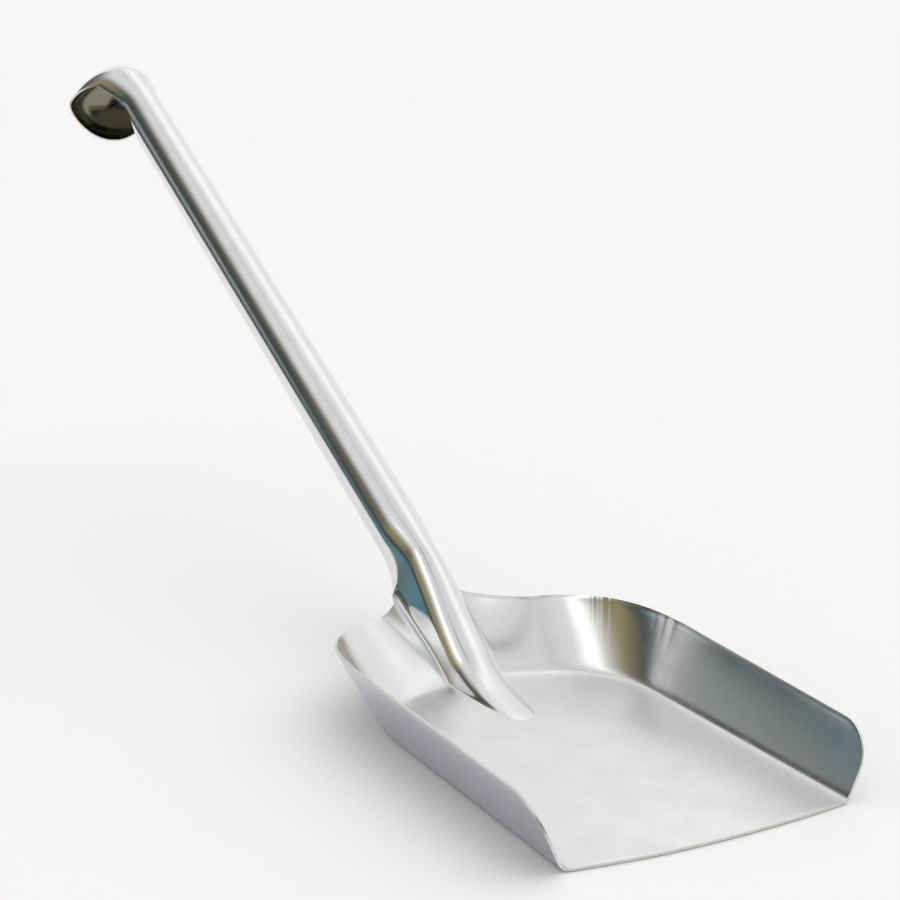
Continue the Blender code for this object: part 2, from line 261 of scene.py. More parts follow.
class ShovelStage(bpy.types.PropertyGroup):
    """Floor, light and camera."""
    floor_size: length("Floor size", "Width of the floor", 80.0)
    floor_tint: colour("Floor colour", "Colour of the floor", (0.92, 0.918, 0.912))
    ambience: colour("Ambience", "Colour of the light from all round", (0.78, 0.78, 0.79))
    backdrop: colour("Backdrop", "Colour of the backdrop", (0.931, 0.930, 0.922))
    key_tint: colour("Key colour", "Colour of the key light", (1.0, 0.98, 0.935))
    key_strength: number("Key strength", "Strength of the key light", 0.98)
    key_height: angle("Key height", "How high the key light stands", 50)
    key_side: angle("Key side", "How far the key light stands round to the right of the lip", 120)
    key_softness: angle("Key softness", "How wide the key light looks", 80)
    camera_place: FloatVectorProperty(name="Camera place", description="Where the camera stands", size=3,
                                      default=(-0.2879, -0.4610, 0.2240), subtype="TRANSLATION",
                                      unit="LENGTH")
    camera_turn: angle("Camera turn", "How far right of the shovel's length it looks", 27.56)
    camera_dip: angle("Camera dip", "How far down it looks", 12.97)
    camera_lens: number("Lens", "Focal length in millimetres for a 36 mm frame", 72.0)


def blend(low, high, share):
    """Value between low and high at a share from 0 to 1."""
    return low + (high - low) * share


def ease(share):
    """Share from 0 to 1 with a soft start and a soft end, held outside that range."""
    held = np.clip(share, 0.0, 1.0)
    return held * held * (3 - 2 * held)


def rolled(distance, roll):
    """How far a corner of a roll length is lifted, at a distance from its middle."""
    share = np.maximum(0.0, 1 - distance / (ROLL_REACH * roll))
    return roll * ROLL_HEIGHT * share ** ROLL_POWER


def squared_round(half, depth, power, turn):
    """Point on a squared-off quarter round, from the side (turn 0) to the middle (a quarter turn)."""
    across = half * np.maximum(np.cos(turn), 0.0) ** (2 / power)
    return across, depth * np.sin(turn) ** (2 / power)


def round_back(half, depth, power, across):
    """How far back a squared-off quarter round reaches at a distance from the middle."""
    return depth * (1 - (across / half) ** power) ** (1 / power)


def curve_height(y, start, end):
    """Height of a smooth curve between two points, each given as place, height and slope."""
    span = end[0] - start[0]
    share = (y - start[0]) / span
    left = 1 - share
    height = start[1] * left * left * (1 + 2 * share) + end[1] * share * share * (1 + 2 * left)
    return height + span * share * left * (start[2] * left - end[2] * share)


class PanForm:
    """Shape of the pan's underside, on its right half."""

    def __init__(self, pan):
        self.pan = pan
        self.half = pan.floor_width / 2
        self.rim_half = self.half + pan.corner_flare
        self.lip_y = -pan.floor_length / 2
        self.crease_y = pan.floor_length / 2
        self.rear_start = self.crease_y - pan.rear_round

    def rim_flare(self, across):
        """How far the rear rim runs back to the handle at a distance from the middle."""
        pan = self.pan
        return pan.flare_back * np.maximum(0.0, 1 - across / pan.flare_reach) ** pan.flare_power

    def rear_rim(self, across):
        """Place of the rear rim at a distance from the middle."""
        pan = self.pan
        back = round_back(self.rim_half, pan.rear_round + pan.rear_lean, pan.rim_round_power, across)
        return self.rear_start + back + self.rim_flare(across)

    def lip(self, across):
        """Place of the front lip at a distance from the middle."""
        return self.lip_y - self.pan.lip_bow * (1 - (across / self.half) ** 2)

    def wall(self, place, share):
        """Points on the wall, with share from 0 at the floor's edge to 1 at the rim.

        Place runs 0 to 1 round the front corner, 1 to 2 along the side and 2 to 3 round the rear.
        """
        pan = self.pan
        place, share = np.broadcast_arrays(place, share)
        corner_turn = np.clip(place, 0, 1) * QUARTER
        along = np.clip(place - 1, 0, 1)
        turn = np.clip(place - 2, 0, 1) * QUARTER

        full = blend(pan.front_height, pan.corner_height, along)
        side_z = (full - pan.front_corner * (1 - np.sin(corner_turn))) * share
        side_out = 1 - (1 - side_z / full) ** pan.side_belly
        side_x = self.half + blend(pan.front_flare, pan.corner_flare, along) * side_out
        side_y = blend(self.lip_y + pan.front_corner, self.rear_start, along)
        side_y = side_y - pan.front_corner * np.cos(corner_turn)

        sideways = np.cos(turn) ** 2
        edge_x, edge_y = squared_round(self.half, pan.rear_round, pan.rear_round_power, turn)
        depth = pan.rear_round + pan.rear_lean
        rim_x, rim_y = squared_round(self.rim_half, depth, pan.rim_round_power, turn)
        rim_y = rim_y + self.rim_flare(rim_x)
        rear_out = 1 - (1 - share) ** blend(pan.rear_belly, pan.side_belly, sideways)
        rear_x = blend(edge_x, rim_x, rear_out)
        rear_y = self.rear_start + blend(edge_y, rim_y, rear_out)
        rear_z = share * blend(pan.rear_height, pan.corner_height, sideways)

        at_rear = place > 2
        return np.stack([np.where(at_rear, rear_x, side_x), np.where(at_rear, rear_y, side_y),
                         np.where(at_rear, rear_z, side_z)], axis=-1)

    def rolled_wall(self, place, share, inset):
        """Wall points with the crease rolled. Rows with an inset lie on the floor, inside the crease."""
        step = 1e-4
        edge = self.wall(place, 0.0)
        way = self.wall(np.minimum(place + step, 3), 0.0) - self.wall(np.maximum(place - step, 0), 0.0)
        outward = np.stack([way[..., 1], -way[..., 0], np.zeros_like(way[..., 0])], axis=-1)
        outward /= np.linalg.norm(outward, axis=-1, keepdims=True)
        upward = self.wall(place, 0.02) - edge
        upward /= np.linalg.norm(upward, axis=-1, keepdims=True)
        inset = np.broadcast_to(inset, np.shape(place))[..., None]
        flat = edge - outward * inset
        points = np.where(inset > 0, flat, self.wall(place, share))
        distance = np.linalg.norm(points - edge, axis=-1, keepdims=True)
        return points + (upward - outward) * rolled(distance, self.pan.crease_roll)


class FootForm:
    """Shape of the handle's arched foot, let into the pan's floor and rear wall."""

    def __init__(self, pan, handle, form):
        self.handle = handle
        self.sheet = pan.sheet
        self.crease_y = form.crease_y
        self.tip_y = form.crease_y - handle.foot_length
        self.rim_y = form.rear_rim(handle.rim_width / 2)

    def half_width(self, y):
        """Half the width of the foot behind its rounded tip."""
        rest = np.clip((self.rim_y - y) / (self.rim_y - self.tip_y), 0.0, 1.0)
        share = 1 - rest ** self.handle.foot_fullness
        return blend(self.handle.tip_width, self.handle.rim_width, share) / 2

    def drift(self, y):
        """How far the foot's middle lies off the centre line."""
        start = self.crease_y + self.handle.drift_start
        share = np.clip((start - y) / (start - self.tip_y), 0.0, 1.0)
        return -self.handle.tip_drift * share ** DRIFT_POWER

    def side(self, y):
        """Length of the arch's straight sides."""
        return blend(self.handle.floor_side, self.handle.rim_side, self.climb(y))

    def tip_point(self, turn, gap):
        """Place and half width on the rounded tip, or on an outline one gap outside it."""
        tip_round = self.handle.tip_round
        y = self.tip_y + tip_round - (tip_round + gap) * np.cos(turn)
        return y, (self.half_width(y) + gap) * np.sin(turn)

    def tube_top(self, y):
        """Height of the tube's top line."""
        return self.handle.rise + (y - self.crease_y) * math.tan(self.handle.slope)

    def crest(self, y):
        """Height of the foot's crest, low along the floor and then up the rear wall to the tube."""
        handle = self.handle
        tip = (self.tip_y, self.sheet, math.tan(handle.tip_slope))
        bend = (self.crease_y, handle.foot_rise, math.tan(handle.bend_slope))
        neck = (self.rim_y, self.tube_top(self.rim_y), math.tan(handle.slope))
        return np.where(y < self.crease_y, curve_height(y, tip, bend), curve_height(y, bend, neck))

    def climb(self, y):
        """Share of the way from the rear crease up to the rim."""
        return np.clip((y - self.crease_y) / (self.rim_y - self.crease_y), 0.0, 1.0)

    def roll(self, y):
        """Roll length of the valley beside the foot."""
        return blend(self.handle.floor_roll, self.handle.rim_roll, self.climb(y) ** VALLEY_POWER)

    def lean(self, y):
        """How far the valley is drawn outwards and upwards by its roll, fading out at the tip."""
        start = ease((self.crest(y) - self.sheet) / self.handle.tip_round)
        outwards = blend(FLOOR_LEAN_OUT, 1.0, self.climb(y))
        return start * outwards, start * blend(FLOOR_LEAN_UP, 1.0, self.climb(y))


def seam_offsets():
    """Distances from the foot's outline, in roll lengths, from the far side of its roll to the seam."""
    return ROLL_REACH * (1 - np.linspace(0, 1, SEAM_COLUMNS)) ** CROWDING


def rear_columns(form, foot, share):
    """Places of the columns along one row of the rear wall, from the side to the foot's outline."""
    table = np.linspace(2, 3, TABLE_STEPS + 1)[1:]
    points = form.wall(table, share)
    clear = points[:, 0] - foot.half_width(points[:, 1])
    seam_place = np.interp(0.0, clear[::-1], table[::-1])
    seam_point = form.wall(np.array([seam_place]), share)[0]
    wanted = seam_point[0] + foot.roll(seam_point[1]) * seam_offsets()
    near = np.interp(wanted, points[::-1, 0], table[::-1])
    far = np.linspace(2, near[0], REAR_COLUMNS)[1:-1]
    return np.concatenate([far, near])


def wall_grid(form, foot):
    """Points, wall shares and roll lifts of the right wall, by rows and columns."""
    insets = form.pan.crease_roll * ROLL_REACH * np.linspace(1, 0, CREASE_ROWS + 1)[:-1]
    shares = np.linspace(0, 1, WALL_ROWS) ** CROWDING
    inset = np.concatenate([insets, np.zeros(WALL_ROWS)])[:, None]
    share = np.concatenate([np.zeros(CREASE_ROWS), shares])[:, None]
    front = np.linspace(0, 1, FRONT_COLUMNS)[:-1]
    side = np.linspace(1, 2, SIDE_COLUMNS)
    rows = [np.concatenate([front, side, rear_columns(form, foot, level)]) for level in share[:, 0]]
    place = np.stack(rows)
    points = form.rolled_wall(place, np.broadcast_to(share, place.shape), inset)
    on_floor = slice(0, CREASE_ROWS)
    points[on_floor, 0, 1] = form.lip(points[on_floor, 0, 0])
    beside = points[on_floor, -SEAM_COLUMNS:]
    beside[..., 0] = foot.half_width(beside[..., 1]) + foot.roll(beside[..., 1]) * seam_offsets()
    return points, np.broadcast_to(share, place.shape), place


def seam_lift(foot, points):
    """How far points beside the foot are drawn outwards and up into its valley."""
    y = points[..., 1]
    distance = np.maximum(points[..., 0] - foot.half_width(y), 0.0)
    lift = rolled(distance, foot.roll(y))
    outwards, upwards = foot.lean(y)
    return np.stack([lift * outwards, np.zeros_like(lift), lift * upwards], axis=-1)


def tip_ring(form, foot, start_y):
    """Points on the floor round the foot, and their lifts, from behind the crease to the tip."""
    straight = np.linspace(start_y, foot.tip_y + foot.handle.tip_round, FOOT_ROWS)[1:]
    turns = np.linspace(QUARTER, 0, TIP_ROWS + 1)[1:]
    points = []
    lifts = []
    for y in straight:
        gaps = foot.roll(y) * seam_offsets()
        row = np.stack([foot.half_width(y) + gaps, np.full_like(gaps, y), np.zeros_like(gaps)], axis=-1)
        points.append(row)
        lifts.append(seam_lift(foot, row))
    for turn in turns:
        gaps = foot.handle.floor_roll * seam_offsets()
        y, x = foot.tip_point(turn, gaps)
        points.append(np.stack([x, y, np.zeros_like(gaps)], axis=-1))
        lift = rolled(gaps, foot.handle.floor_roll)
        outwards, upwards = foot.lean(y[-1])
        lifts.append(np.stack([lift * outwards * math.sin(turn), -lift * outwards * math.cos(turn),
                               lift * upwards], axis=-1))
    return np.array(points), np.array(lifts)


def grid_faces(shape, rows):
    """Quads between neighbouring rows of vertices."""
    for low, high in zip(rows, rows[1:]):
        for column in range(len(low) - 1):
            corners = (low[column], low[column + 1], high[column + 1], high[column])
            if len(set(corners)) == len(corners):
                shape.faces.new(corners)


def half_pan(shape, form, foot, side):
    """One half of the pan's sheet as vertices and faces. Returns its seam vertices, tip first."""
    rim_layer = shape.verts.layers.float["rim"]
    travel_layer = shape.verts.layers.float["travel"]
    corner_layer = shape.verts.layers.float["corner"]
    seam_layer = shape.verts.layers.float["seam"]
    lift_layer = shape.verts.layers.float_vector["lift"]

    def vertex(point, lift=(0, 0, 0), rim=0.0, place=0.0):
        made = shape.verts.new((side * point[0], point[1], point[2]))
        made[lift_layer] = Vector((side * lift[0], lift[1], lift[2]))
        made[rim_layer] = rim
        made[travel_layer] = side * place
        made[corner_layer] = sum(ease(1 - abs(place - middle) / reach) for middle, reach in GATHERS)
        return made

    points, shares, places = wall_grid(form, foot)
    lifts = seam_lift(foot, points) * ease((points[..., 1:2] - form.rear_start) / form.pan.rear_round)
    grid = [[vertex(*values) for values in zip(*row)] for row in zip(points, lifts, shares, places)]
    grid_faces(shape, grid)
    ring_points, ring_lifts = tip_ring(form, foot, points[0, -1, 1])
    ring = [[vertex(*values) for values in zip(*row)] for row in zip(ring_points, ring_lifts)]
    grid_faces(shape, [grid[0][-SEAM_COLUMNS:]] + ring)
    lip_x = np.linspace(0, points[0, 0, 0], LIP_COLUMNS)[:-1]
    outline = [vertex((x, form.lip(x), 0.0)) for x in lip_x]
    outline += grid[0][:-SEAM_COLUMNS + 1]
    outline += [row[0] for row in ring]
    shape.faces.new(outline)
    seam = [row[-1] for row in reversed(ring)] + [row[-1] for row in grid]
    for made in seam:
        made[seam_layer] = 1.0
    return seam


def place_key(place):
    """Rounded place, by which a vertex is found again."""
    return tuple(round(value, PLACE_DIGITS) for value in place)


def pan_sheet(pan, handle):
    """Upper surface of the whole pan as a bmesh, and its seam with the foot, tip first."""
    form = PanForm(pan)
    foot = FootForm(pan, handle, form)
    shape = bmesh.new()
    for name in ("rim", "travel", "corner", "seam"):
        shape.verts.layers.float.new(name)
    lift_layer = shape.verts.layers.float_vector.new("lift")
    seam = half_pan(shape, form, foot, 1)
    half_pan(shape, form, foot, -1)
    places = [vertex.co.copy() for vertex in seam]
    bmesh.ops.remove_doubles(shape, verts=shape.verts, dist=10 ** -PLACE_DIGITS)
    bmesh.ops.recalc_face_normals(shape, faces=shape.faces)
    largest = max(shape.faces, key=lambda face: face.calc_area())
    if largest.normal.z < 0:
        bmesh.ops.reverse_faces(shape, faces=shape.faces)
    shape.normal_update()
    raised = {}
    for vertex in shape.verts:
        key = place_key(vertex.co)
        vertex.co += vertex.normal * pan.sheet
        raised[key] = vertex.co.copy()
        vertex.co += vertex[lift_layer]
    for vertex in shape.verts:
        near = 1 - ease((abs(vertex.co.x) - handle.rim_width * DRIFT_REACH) / handle.rim_width)
        vertex.co.x += foot.drift(vertex.co.y) * near
    seam_top = [raised[place_key(place)] for place in places]
    return shape, seam_top


class Nodes:
    """Adds nodes to a tree and joins them up."""

    def __init__(self, tree):
        self.tree = tree

    def add(self, kind, values=None, **settings):
        """New node with its settings and with its inputs linked or set."""
        node = self.tree.nodes.new(kind)
        for name, value in settings.items():
            setattr(node, name, value)
        for key, value in (values or {}).items():
            self.put(node.inputs[key], value)
        return node

    def put(self, socket, value):
        """Link a socket to another one, or set its value."""
        if isinstance(value, bpy.types.NodeSocket):
            self.tree.links.new(value, socket)
        else:
            socket.default_value = value

    def math(self, operation, *values):
        """Result of a Math node."""
        return self.add("ShaderNodeMath", dict(enumerate(values)), operation=operation).outputs[0]

    def vector(self, operation, *values):
        """Result of a Vector Math node."""
        return self.add("ShaderNodeVectorMath", dict(enumerate(values)), operation=operation).outputs[0]

    def scaled(self, vector, scale):
        """Vector times a number."""
        node = self.add("ShaderNodeVectorMath", {0: vector, "Scale": scale}, operation="SCALE")
        return node.outputs[0]

    def ramp(self, value, low, high, start=0.0, end=1.0):
        """Value eased from start to end while the given one goes from low to high."""
        node = self.add("ShaderNodeMapRange", {"Value": value, "From Min": low, "From Max": high,
                                               "To Min": start, "To Max": end},
                        interpolation_type="SMOOTHSTEP")
        return node.outputs["Result"]

    def mix(self, share, first, second):
        """Colour between two others."""
        node = self.add("ShaderNodeMix", data_type="RGBA")
        self.put(node.inputs["Factor"], share)
        self.put(node.inputs[6], first)
        self.put(node.inputs[7], second)
        return node.outputs[2]


def new_tree(name, kind, inputs, outputs):
    """Empty node group with the given sockets. Returns its nodes, group input and group output."""
    tree = bpy.data.node_groups.new(name, kind)
    for direction, sockets in (("INPUT", inputs), ("OUTPUT", outputs)):
        for socket_name, socket_kind in sockets:
            tree.interface.new_socket(socket_name, in_out=direction, socket_type=socket_kind)
    nodes = Nodes(tree)
    return nodes, nodes.add("NodeGroupInput"), nodes.add("NodeGroupOutput")


def strip_tree():
    """Geometry Nodes that roll a strip of sheet over a spine, one section for each spine point.

    A section swings from its crest out to both edges: an arch, then sides that run straight or curl on.
    So it can be an arched foot, a round tube or a shallow dish. Its edges can be rolled outwards.
    """
    nodes, start, end = new_tree(
        "rolled_strip", "GeometryNodeTree",
        [("Spine", "NodeSocketGeometry"), ("Columns", "NodeSocketInt"), ("Finish", "NodeSocketMaterial")],
        [("Strip", "NodeSocketGeometry")])
    spine = start.outputs["Spine"]
    columns = start.outputs["Columns"]
    count = nodes.add("GeometryNodeAttributeDomainSize", {0: spine}).outputs["Point Count"]
    grid = nodes.add("GeometryNodeMeshGrid", {"Vertices X": columns, "Vertices Y": count})
    index = nodes.add("GeometryNodeInputIndex").outputs[0]
    row = nodes.math("FLOORED_MODULO", index, count)
    column = nodes.math("FLOOR", nodes.math("DIVIDE", index, count))

    def sampled(name, kind="FLOAT"):
        value = nodes.add("GeometryNodeInputNamedAttribute", {"Name": name}, data_type=kind)
        sample = nodes.add("GeometryNodeSampleIndex", {"Geometry": spine}, data_type=kind, domain="POINT")
        nodes.put(sample.inputs["Value"], value.outputs["Attribute"])
        nodes.put(sample.inputs["Index"], row)
        return sample.outputs["Value"]

    crest = sampled("crest", "FLOAT_VECTOR")
    edge = sampled("edge", "FLOAT_VECTOR")
    half_width = sampled("half_width")
    end_turn = sampled("end_turn")
    bend = sampled("bend")
    curl = sampled("curl")
    straight = sampled("straight")
    roll = sampled("roll")
    share = nodes.math("DIVIDE", column, nodes.math("SUBTRACT", columns, 1))
    swing = nodes.math("SUBTRACT", nodes.math("MULTIPLY", share, 2.0), 1.0)
    turn = nodes.math("MULTIPLY", swing, end_turn)
    side = nodes.math("SIGN", swing)

    def section(reached):
        """Share across and share down of the section, at a turn from its crest."""
        past = nodes.math("MAXIMUM", nodes.math("SUBTRACT", reached, bend), 0.0)
        room = nodes.math("MAXIMUM", nodes.math("SUBTRACT", end_turn, bend), LEAST_ROOM)
        side_share = nodes.math("MINIMUM", nodes.math("DIVIDE", past, room), 1.0)
        arch = nodes.math("ADD", nodes.math("MINIMUM", reached, bend),
                          nodes.math("MULTIPLY", curl, side_share))
        run = nodes.math("MULTIPLY", straight, side_share)
        over = nodes.math("ADD", nodes.math("SINE", arch),
                          nodes.math("MULTIPLY", run, nodes.math("COSINE", bend)))
        fall = nodes.math("SUBTRACT", 1.0, nodes.math("COSINE", arch))
        return over, nodes.math("ADD", fall, nodes.math("MULTIPLY", run, nodes.math("SINE", bend)))

    over, fall = section(nodes.math("ABSOLUTE", turn))
    end_over, end_fall = section(end_turn)
    down = nodes.math("DIVIDE", fall, end_fall)
    along = nodes.vector("ADD", crest, nodes.scaled(nodes.vector("SUBTRACT", edge, crest), down))

    def across(value):
        return nodes.add("ShaderNodeCombineXYZ", {"X": value}).outputs[0]

    aside = nodes.math("MULTIPLY", nodes.math("MULTIPLY", half_width, over), side)
    place = nodes.vector("ADD", along, across(aside))
    reach = nodes.math("MULTIPLY", half_width, end_over)
    edge_place = nodes.vector("ADD", edge, across(nodes.math("MULTIPLY", reach, side)))
    gap = nodes.add("ShaderNodeVectorMath", {0: place, 1: edge_place}, operation="DISTANCE").outputs["Value"]
    spread = nodes.math("DIVIDE", gap, nodes.math("MULTIPLY", roll, ROLL_REACH))
    rest = nodes.math("MAXIMUM", nodes.math("SUBTRACT", 1.0, spread), 0.0)
    lift = nodes.math("MULTIPLY", nodes.math("MULTIPLY", roll, ROLL_HEIGHT),
                      nodes.math("POWER", rest, ROLL_POWER))
    lean = nodes.add("ShaderNodeSeparateXYZ", {0: sampled("lean", "FLOAT_VECTOR")})
    outwards = nodes.math("MULTIPLY", lean.outputs["X"], side)
    way = nodes.add("ShaderNodeCombineXYZ", {"X": outwards, "Y": lean.outputs["Y"], "Z": lean.outputs["Z"]})
    moved = nodes.vector("ADD", place, nodes.scaled(way.outputs[0], lift))
    shaped = nodes.add("GeometryNodeSetPosition", {"Geometry": grid.outputs["Mesh"], "Position": moved})
    carried = shaped.outputs[0]
    for name, value in (("travel", sampled("travel")), ("swing", turn), ("seam", sampled("seam"))):
        stored = nodes.add("GeometryNodeStoreNamedAttribute", {"Geometry": carried, "Name": name},
                           data_type="FLOAT", domain="POINT")
        nodes.put(stored.inputs["Value"], value)
        carried = stored.outputs[0]
    real = nodes.add("GeometryNodeRealizeInstances", {"Geometry": carried})
    finished = nodes.add("GeometryNodeSetMaterial",
                         {"Geometry": real.outputs[0], "Material": start.outputs["Finish"]})
    nodes.put(end.inputs["Strip"], finished.outputs[0])
    return nodes.tree


def gather_tree():
    """Geometry Nodes that gather the rim of the pan's rear corners into small uneven folds."""
    nodes, start, end = new_tree(
        "rim_gathers", "GeometryNodeTree",
        [("Pan", "NodeSocketGeometry"), ("Depth", "NodeSocketFloat"), ("Folds", "NodeSocketFloat"),
         ("Seed", "NodeSocketFloat"), ("Finish", "NodeSocketMaterial")],
        [("Pan", "NodeSocketGeometry")])

    def attribute(name):
        return nodes.add("GeometryNodeInputNamedAttribute", {"Name": name},
                         data_type="FLOAT").outputs["Attribute"]

    travel = nodes.math("MULTIPLY", attribute("travel"), start.outputs["Folds"])
    noise = nodes.add("ShaderNodeTexNoise", {"Scale": 1.0, "Detail": 2.0, "Roughness": 0.6},
                      noise_dimensions="1D")
    nodes.put(noise.inputs["W"], nodes.math("ADD", travel, start.outputs["Seed"]))
    fold = nodes.math("SUBTRACT", noise.outputs[0], 0.5)
    near_rim = nodes.math("POWER", attribute("rim"), 4.0)
    weight = nodes.math("MULTIPLY", near_rim, attribute("corner"))
    depth = nodes.math("MULTIPLY", nodes.math("MULTIPLY", fold, weight), start.outputs["Depth"])
    normal = nodes.add("GeometryNodeInputNormal").outputs["Normal"]
    moved = nodes.add("GeometryNodeSetPosition", {"Geometry": start.outputs["Pan"],
                                                  "Offset": nodes.scaled(normal, depth)})
    real = nodes.add("GeometryNodeRealizeInstances", {"Geometry": moved.outputs[0]})
    finished = nodes.add("GeometryNodeSetMaterial",
                         {"Geometry": real.outputs[0], "Material": start.outputs["Finish"]})
    nodes.put(end.inputs["Pan"], finished.outputs[0])
    return nodes.tree


def run_tree(item, tree, values):
    """Run a Geometry Nodes tree on an object and keep the result as its plain mesh."""
    modifier = item.modifiers.new(tree.name, "NODES")
    modifier.node_group = tree
    for socket in tree.interface.items_tree:
        if socket.name in values and socket.in_out == "INPUT":
            modifier[socket.identifier] = values[socket.name]
    keep_evaluated(item)


def keep_evaluated(item):
    """Replace an object's mesh by its evaluated one, and remove its modifiers."""
    graph = bpy.context.evaluated_depsgraph_get()
    made = bpy.data.meshes.new_from_object(item.evaluated_get(graph))
    old = item.data
    item.modifiers.clear()
    item.data = made
    made.name = item.name
    bpy.data.meshes.remove(old)


def new_piece(name, mesh):
    """Object for a mesh, linked to the scene."""
    item = bpy.data.objects.new(name, mesh)
    bpy.context.scene.collection.objects.link(item)
    return item


def thicken(item, pan, inside, cut):
    """Give a sheet its thickness below its surface, and round off its cut edges."""
    # The lower side takes the given darker material, which paints shade there
    item.data.materials.append(inside)
    item.data.materials.append(cut)
    wall = item.modifiers.new("sheet", "SOLIDIFY")
    wall.thickness = pan.sheet
    wall.offset = -1
    wall.use_even_offset = True
    wall.material_offset = 1
    wall.material_offset_rim = 2
    keep_evaluated(item)
    shape = bmesh.new()
    shape.from_mesh(item.data)
    seam = shape.verts.layers.float["seam"]

    def is_cut(edge):
        faces = edge.link_faces
        on_seam = all(vertex[seam] > 0.5 for vertex in edge.verts)
        return len(faces) == 2 and faces[0].material_index != faces[1].material_index and not on_seam

    edges = [edge for edge in shape.edges if is_cut(edge)]
    bmesh.ops.bevel(shape, geom=edges, offset=pan.edge_round, segments=2, profile=0.5, affect="EDGES",
                    clamp_overlap=True, material=-1)
    shape.to_mesh(item.data)
    shape.free()
    item.data.shade_smooth()
    item.data.set_sharp_from_angle(angle=SHARP_ANGLE)


